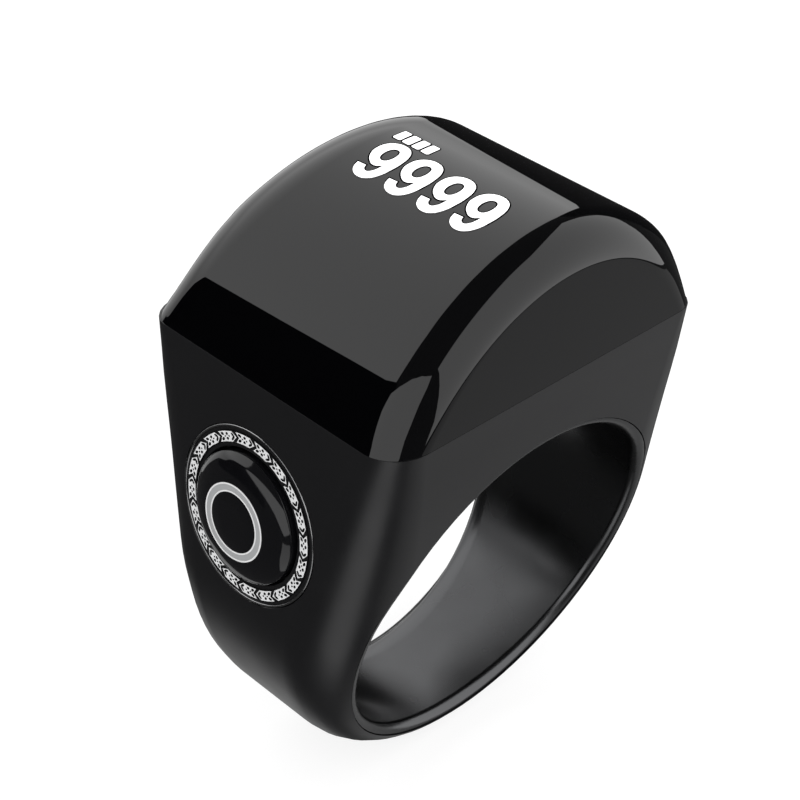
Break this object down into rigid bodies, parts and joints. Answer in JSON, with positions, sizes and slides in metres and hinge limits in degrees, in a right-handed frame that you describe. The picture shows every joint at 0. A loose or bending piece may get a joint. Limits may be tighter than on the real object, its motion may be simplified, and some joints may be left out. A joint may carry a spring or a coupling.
{
  "type": "counter ring",
  "caption": "Smart counter ring: satin black band with a domed display cover and a sprung push button in a silver ornament ring on one side, with its electronics inside",
  "frame": {"origin": "centre of the finger bore, on its axis, half way along it", "axes": "+Y runs along the finger bore, +Z points from the bore's centre to the display, the push button is on the -X side"},
  "size_m": [0.026, 0.0187, 0.0341],
  "materials": {
    "body": "satin black coated alloy",
    "lens": "polished black, see-through where the display is lit",
    "cap": "polished black",
    "silver": "bright silver plate on black",
    "diffuser": "pale light guide",
    "moulding": "fine moulded",
    "soft": "matt",
    "board": "green solder mask",
    "chip": "fine matt",
    "ivory": "moulded ceramic-like",
    "ribbon": "amber film",
    "panel": "dark display glass with white digits",
    "foil": "laminated foil",
    "steel": "nickel plated",
    "gold": "gold plated"
  },
  "bodies": {
    "body": {"housing": "body", "inner_liner": "body", "display_cover": "lens", "cover_gasket": "soft", "button_bezel": "body", "ornament_ring": "silver", "button_seal": "soft", "switch_body": "chip", "switch_flex": "ribbon", "mid_frame": "moulding", "main_board": "board", "bluetooth_chip": "chip", "power_chip": "chip", "crystal": "steel", "chip_antenna": "ivory", "display_connector": "ivory", "display_bracket": "moulding", "display_panel": "panel", "display_flex": "ribbon", "battery": "foil", "battery_pad": "soft", "battery_tab_positive": "steel", "battery_tab_negative": "steel", "frame_screw_1": "steel", "frame_screw_2": "steel", "frame_screw_3": "steel", "frame_screw_4": "steel", "motor_case": "steel", "motor_base": "steel", "motor_shaft": "steel", "charge_contact_front": "gold", "charge_contact_back": "gold", "contact_sleeve_front": "ivory", "contact_sleeve_back": "ivory", "contact_flex": "ribbon"},
    "button": {"button_cap": "cap", "button_light_ring": "diffuser"},
    "plunger": {"switch_plunger": "ivory"},
    "eccentric": {"motor_weight": "steel"}
  },
  "joints": [
    {"name": "button_press", "type": "slide", "parent": "body", "child": "button", "axis": [0.9936, 0, -0.1132], "range_m": [0, 0.0002], "stiffness_N_per_m": 8000},
    {"name": "plunger_press", "type": "slide", "parent": "body", "child": "plunger", "axis": [0.9936, 0, -0.1132], "range_m": [0, 0.0002]},
    {"name": "motor_spin", "type": "hinge", "parent": "body", "child": "eccentric", "pos_m": [-0.0047, 0, 0.0129], "axis": [0, 0, 1], "continuous": true}
  ],
  "couplings": [
    {"joint": "plunger_press", "follows": "button_press", "ratio": 1}
  ]
}
